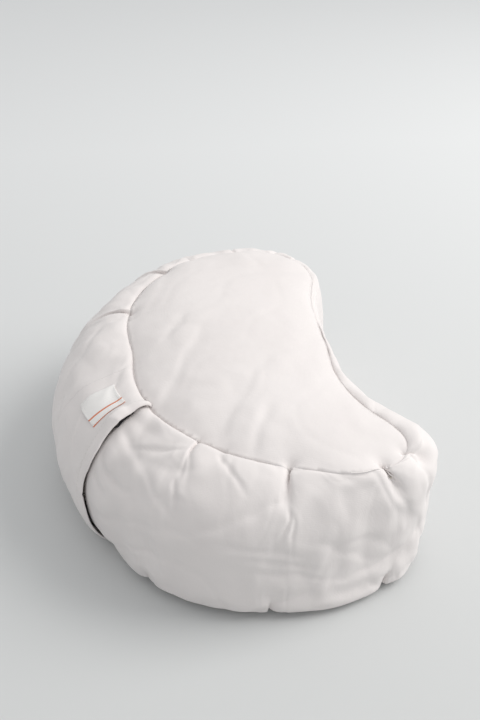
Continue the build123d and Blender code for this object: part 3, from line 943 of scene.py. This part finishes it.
def label_frame(inset):
    """Outline distances and shares down the wall of the label's edges, drawn in by an inset."""
    low = (TOP_ANGLE - LABEL_ANGLES[0]) / SWEEP
    high = (TOP_ANGLE - LABEL_ANGLES[1]) / SWEEP
    down_inset = inset / (BULGE_R * SWEEP)
    return LABEL_S[0] + inset, LABEL_S[1] - inset, low + down_inset, high - down_inset


def build_label(cover):
    s0, s1, r0, r1 = label_frame(0)
    uu, vv = np.meshgrid(np.linspace(0, 1, 40), np.linspace(0, 1, 40), indexing="ij")
    edge = np.minimum(np.minimum(uu, 1 - uu), np.minimum(vv, 1 - vv))
    curl = 0.35 * MM * np.exp(-edge / 0.03)
    shift = 0.25 * MM * np.sin(7 * uu + 4 * vv)
    grid, _ = on_flap(cover, s0 + (s1 - s0) * uu, r0 + (r1 - r0) * vv, 0.45 * MM + curl + shift)
    label = grid_sheet("label_cloth", grid, LABEL_TAPE)
    # Each corner takes its place on the label from the nearest point of the grid
    tree = point_tree(grid.reshape(-1, 3))
    near = np.array([tree.find(v.co)[1] for v in label.data.vertices])
    spots = np.stack([uu.ravel()[near], vv.ravel()[near]], 1)
    corner = np.empty(len(label.data.loops), int)
    label.data.loops.foreach_get("vertex_index", corner)
    uv = label.data.uv_layers.new(name="label")
    uv.data.foreach_set("uv", spots[corner].ravel().astype(np.float32))
    finish_on_flap(label, "sewn_label", "label_weave")


def stitches(name, path, normals, long, gap, radius):
    """A row of short rounded threads along a path of points."""
    sides, rings = 6, 5
    run = np.concatenate([[0], np.cumsum(np.linalg.norm(np.diff(path, axis=0), axis=1))])
    starts = np.arange(0, run[-1] - long, long + gap)
    t = np.linspace(0, 1, rings)
    at = starts[:, None] + long * t

    def along(values, at):
        return np.stack([np.interp(at, run, values[:, c]) for c in range(3)], -1)

    centre = along(path, at)
    ahead = unit(along(path, at + 0.2 * MM) - centre)
    up = unit(along(normals, at))
    side = np.cross(ahead, up)
    size = radius * (0.35 + 0.65 * np.sin(math.pi * (0.12 + 0.76 * t)))[:, None]
    sunk = centre - up * radius * 1.1 * (2 * t[:, None] - 1) ** 2
    turns = np.arange(sides) * 2 * math.pi / sides
    points = np.stack([sunk + size * (math.cos(a) * side + math.sin(a) * up) for a in turns], 1)
    tube = grid_faces(sides, rings)[:, ::-1]
    cap = np.arange(sides) * rings
    faces = []
    for base in np.arange(len(starts)) * sides * rings:
        faces += [*(tube + base), cap[::-1] + base, cap + rings - 1 + base]
    return mesh_object(name, points.reshape(-1, 3), faces)


def build_flap_stitches(cover):
    """The flap's hem stitches, and the frame of stitches round the label."""
    rr = np.linspace(0.03, 0.97, 200)
    ss = np.full(200, FLAP_EDGE_S - HEM_WIDE + 0.1 * MM)
    path = on_flap(cover, ss, rr, 0.05 * MM)
    hem = stitches("flap_hem_stitches", *path, 2.4 * MM, 0.9 * MM, 0.28 * MM)
    finish_on_flap(hem, "flap_hem_stitching", "seam_thread")
    s0, s1, r0, r1 = label_frame(1.6 * MM)
    side = np.linspace(0, 4, 400)
    ss = np.interp(side, np.arange(5), [s0, s1, s1, s0, s0])
    rr = np.interp(side, np.arange(5), [r0, r0, r1, r1, r0])
    path = on_flap(cover, ss, rr, 0.55 * MM)
    border = stitches("label_stitches", *path, 1.6 * MM, 0.7 * MM, 0.2 * MM)
    finish_on_flap(border, "label_stitching", "label_thread")


MATERIALS = {}


def use_material(piece, slot):
    piece.data.materials.clear()
    piece.data.materials.append(MATERIALS[slot])


def shader(name):
    material = bpy.data.materials.new(name)
    material.use_nodes = True
    tree = material.node_tree
    return material, tree, tree.nodes["Principled BSDF"]


def set_inputs(tree, node, inputs):
    """Gives a node's inputs their values; a value may be another node's output."""
    for name, value in inputs.items():
        if isinstance(value, bpy.types.NodeSocket):
            tree.links.new(value, node.inputs[name])
        else:
            node.inputs[name].default_value = value


def add_node(tree, kind, inputs, **settings):
    node = tree.nodes.new(kind)
    for name, value in settings.items():
        setattr(node, name, value)
    set_inputs(tree, node, inputs)
    return node.outputs


def own_coords(tree):
    return add_node(tree, "ShaderNodeTexCoord", {})["Object"]


def noise_node(tree, scale, detail, coords):
    return add_node(tree, "ShaderNodeTexNoise", {"Scale": scale, "Detail": detail, "Vector": coords})["Fac"]


def wave_node(tree, scale, distortion, detail, detail_scale, coords, way):
    inputs = {"Scale": scale, "Distortion": distortion, "Detail": detail, "Detail Scale": detail_scale}
    return add_node(tree, "ShaderNodeTexWave", {**inputs, "Vector": coords}, bands_direction=way)["Fac"]


def map_range(tree, value, low, high):
    return add_node(tree, "ShaderNodeMapRange", {"From Min": low, "From Max": high, "Value": value})[0]


def weave_height(tree, coords, pitch):
    """Plain weave: crossed sets of fine ridges as one height."""
    x, y, z = (wave_node(tree, 0.314 / pitch, 1.2, 1, 3, coords, way) for way in "XYZ")
    both = add_node(tree, "ShaderNodeMath", {0: x, 1: y}, operation="ADD")[0]
    return add_node(tree, "ShaderNodeMath", {0: both, 1: z}, operation="ADD")[0]


def mixed_colour(tree, factor, low, high, first, second):
    """The first colour where the factor is below low, the second above high."""
    ramp = tree.nodes.new("ShaderNodeValToRGB")
    for element, position, colour in zip(ramp.color_ramp.elements, (low, high), (first, second)):
        element.position = position
        element.color = (*colour, 1)
    tree.links.new(factor, ramp.inputs[0])
    return ramp.outputs[0]


def bumped(tree, principled, heights):
    """Chains bump nodes, one for each (height, distance in metres, strength)."""
    last = {}
    for height, distance, strength in heights:
        inputs = {"Distance": distance, "Strength": strength, "Height": height, **last}
        last = {"Normal": add_node(tree, "ShaderNodeBump", inputs)["Normal"]}
    set_inputs(tree, principled, last)


def cloth_material(name, dark, light, pitch, rough=0.92):
    material, tree, principled = shader(name)
    coords = own_coords(tree)
    colour = mixed_colour(tree, noise_node(tree, 9, 3, coords), 0.3, 0.7, dark, light)
    look = {"Base Color": colour, "Roughness": rough, "Specular IOR Level": 0.2}
    set_inputs(tree, principled, {**look, "Sheen Weight": 0.25, "Sheen Roughness": 0.6})
    weave = weave_height(tree, coords, pitch)
    slub = noise_node(tree, 700, 2, coords)
    rumple = noise_node(tree, 70, 4, coords)
    bumped(tree, principled, [(rumple, 1.2 * MM, 0.35), (slub, 0.2 * MM, 0.3), (weave, 0.05 * MM, 0.3)])
    return material


LABEL_WHITE = (0.93, 0.91, 0.89)
TERRACOTTA = (0.72, 0.2, 0.08)


def label_material():
    """White woven tape with generic wavy terracotta stripes."""
    material, tree, principled = shader("label_weave")
    place = add_node(tree, "ShaderNodeUVMap", {}, uv_map="label")[0]
    wave = wave_node(tree, 1.1, 1.6, 0, 0.6, place, "X")
    stripe = mixed_colour(tree, wave, 0.86, 0.93, LABEL_WHITE, TERRACOTTA)
    across = add_node(tree, "ShaderNodeSeparateXYZ", {0: place})[0]
    striped = map_range(tree, across, 0.5, 0.52)
    colour = add_node(tree, "ShaderNodeMixRGB", {0: striped, 1: (*LABEL_WHITE, 1), 2: stripe})[0]
    set_inputs(tree, principled, {"Base Color": colour, "Roughness": 0.6, "Sheen Weight": 0.3})
    bumped(tree, principled, [(weave_height(tree, own_coords(tree), 0.6 * MM), 0.1 * MM, 0.4)])
    return material


def smooth_material(name, colour, rough, metallic, speckle):
    material, tree, principled = shader(name)
    fine = noise_node(tree, 900, 4, own_coords(tree))
    darker = tuple(c * 0.75 for c in colour)
    base = mixed_colour(tree, fine, 0.3, 0.7, darker, colour)
    set_inputs(tree, principled, {"Base Color": base, "Roughness": rough, "Metallic": metallic})
    bumped(tree, principled, [(fine, 0.1 * MM, speckle)])
    return material


def hull_material():
    material, tree, principled = shader("hulls")
    cells = add_node(tree, "ShaderNodeTexVoronoi", {"Scale": 220, "Vector": own_coords(tree)})["Distance"]
    colour = mixed_colour(tree, cells, 0.1, 0.7, (0.16, 0.10, 0.06), (0.05, 0.03, 0.02))
    set_inputs(tree, principled, {"Base Color": colour, "Roughness": 0.7})
    bumped(tree, principled, [(cells, 2.5 * MM, 0.8)])
    return material


# Cloth materials: dark and light colour, pitch of the weave, and roughness where it isn't the usual one
CLOTHS = {
    "cover_cotton": ((0.80, 0.757, 0.744), (0.845, 0.803, 0.79), 0.7 * MM),
    "liner_cotton": ((0.62, 0.57, 0.48), (0.70, 0.65, 0.56), 0.9 * MM),
    "seam_thread": ((0.70, 0.67, 0.63), (0.78, 0.75, 0.71), 0.3 * MM),
    "label_thread": ((0.80, 0.79, 0.77), (0.86, 0.85, 0.83), 0.3 * MM),
    "liner_thread": ((0.58, 0.54, 0.46), (0.64, 0.60, 0.51), 0.3 * MM),
    "zip_tape": ((0.66, 0.63, 0.58), (0.72, 0.69, 0.64), 0.5 * MM, 0.8),
}


def make_materials():
    for name, look in CLOTHS.items():
        MATERIALS[name] = cloth_material(name, *look)
    MATERIALS["label_weave"] = label_material()
    MATERIALS["zip_moulding"] = smooth_material("zip_moulding", (0.74, 0.71, 0.65), 0.4, 0, 0.1)
    MATERIALS["zip_metal"] = smooth_material("zip_metal", (0.13, 0.13, 0.14), 0.38, 1, 0.15)
    MATERIALS["hulls"] = hull_material()


def dress_cad_pieces():
    """Gives the CAD pieces that stay in view, all of them zip parts, their materials."""
    for row in frame["record"]["subparts"]:
        piece = frame["nodes"].get(row["node"])
        if piece is None:
            continue
        material = MATERIALS[row["material_slot"]]
        if len(piece.material_slots) == 0:
            piece.data.materials.append(material)
        for slot in piece.material_slots:
            slot.material = material


CAMERA_AZIMUTH = math.radians(-100.9)
CAMERA_HEIGHT = math.radians(31.4)
CAMERA_DISTANCE = 1.1194
CAMERA_TARGET = Vector((0.1855, -0.0612, 0))
CAMERA_ROLL = math.radians(1.25)
CAMERA_LENS = 49.02


def add_camera():
    data = bpy.data.cameras.new("camera")
    camera = bpy.data.objects.new("camera", data)
    bpy.context.scene.collection.objects.link(camera)
    level = math.cos(CAMERA_HEIGHT)
    x, y = math.sin(CAMERA_AZIMUTH), -math.cos(CAMERA_AZIMUTH)
    back = Vector((x * level, y * level, math.sin(CAMERA_HEIGHT)))
    look = (-back).to_track_quat("-Z", "Y")
    spot = Matrix.Translation(CAMERA_TARGET + back * CAMERA_DISTANCE)
    camera.matrix_world = spot @ look.to_matrix().to_4x4() @ Matrix.Rotation(CAMERA_ROLL, 4, "Z")
    data.lens = CAMERA_LENS
    bpy.context.scene.camera = camera


KEY_PLACE = (-0.1, -2.2, 1.95)
KEY_SIZE = 1.9
KEY_WATTS = 54


def add_key_light():
    data = bpy.data.lights.new("key", "AREA")
    data.energy, data.size = KEY_WATTS, KEY_SIZE
    data.color = (1, 0.985, 0.965)
    light = bpy.data.objects.new("key", data)
    light.location = KEY_PLACE
    light.rotation_euler = (-light.location).to_track_quat("-Z", "Y").to_euler()
    bpy.context.scene.collection.objects.link(light)


FLOOR_HALF = 20


def add_floor():
    """Pale floor with painted shade: its colour darkens towards the camera (-X) and lightens away from it
    (+X).
    """
    corners = [(x * FLOOR_HALF, y * FLOOR_HALF, 0) for x, y in ((-1, -1), (1, -1), (1, 1), (-1, 1))]
    floor = mesh_object("floor", corners, [(0, 1, 2, 3)])
    material, tree, principled = shader("floor_with_painted_shade")
    across = add_node(tree, "ShaderNodeSeparateXYZ", {0: own_coords(tree)})[0]
    painted_shade_ramp = map_range(tree, across, -0.8, 0.9)
    # painted shade: the floor colour runs from darker at x = -0.8, towards the camera, to lighter at x = 0.9
    colour = mixed_colour(tree, painted_shade_ramp, 0, 1, (0.56, 0.572, 0.57), (0.77, 0.782, 0.785))
    set_inputs(tree, principled, {"Base Color": colour, "Roughness": 0.7})
    floor.data.materials.append(material)


def add_sky():
    """Even light from above, and a plain pale background for the camera."""
    world = bpy.data.worlds.new("world")
    world.use_nodes = True
    tree = world.node_tree
    way = add_node(tree, "ShaderNodeTexCoord", {})["Generated"]
    up = add_node(tree, "ShaderNodeSeparateXYZ", {0: way})[2]
    sky = mixed_colour(tree, up, 0.0, 0.9, (0.50, 0.515, 0.53), (1.0, 1.0, 1.0))
    by_camera = add_node(tree, "ShaderNodeLightPath", {})["Is Camera Ray"]
    seen = add_node(tree, "ShaderNodeMixRGB", {0: by_camera, 1: sky, 2: (0.86, 0.875, 0.885, 1)})[0]
    set_inputs(tree, tree.nodes["Background"], {0: seen, 1: 0.78})
    bpy.context.scene.world = world
    bpy.context.scene.view_settings.view_transform = "Standard"


make_materials()
build_cover()
build_liner()
build_hulls()
dress_cad_pieces()
add_camera()
add_floor()
add_key_light()
add_sky()
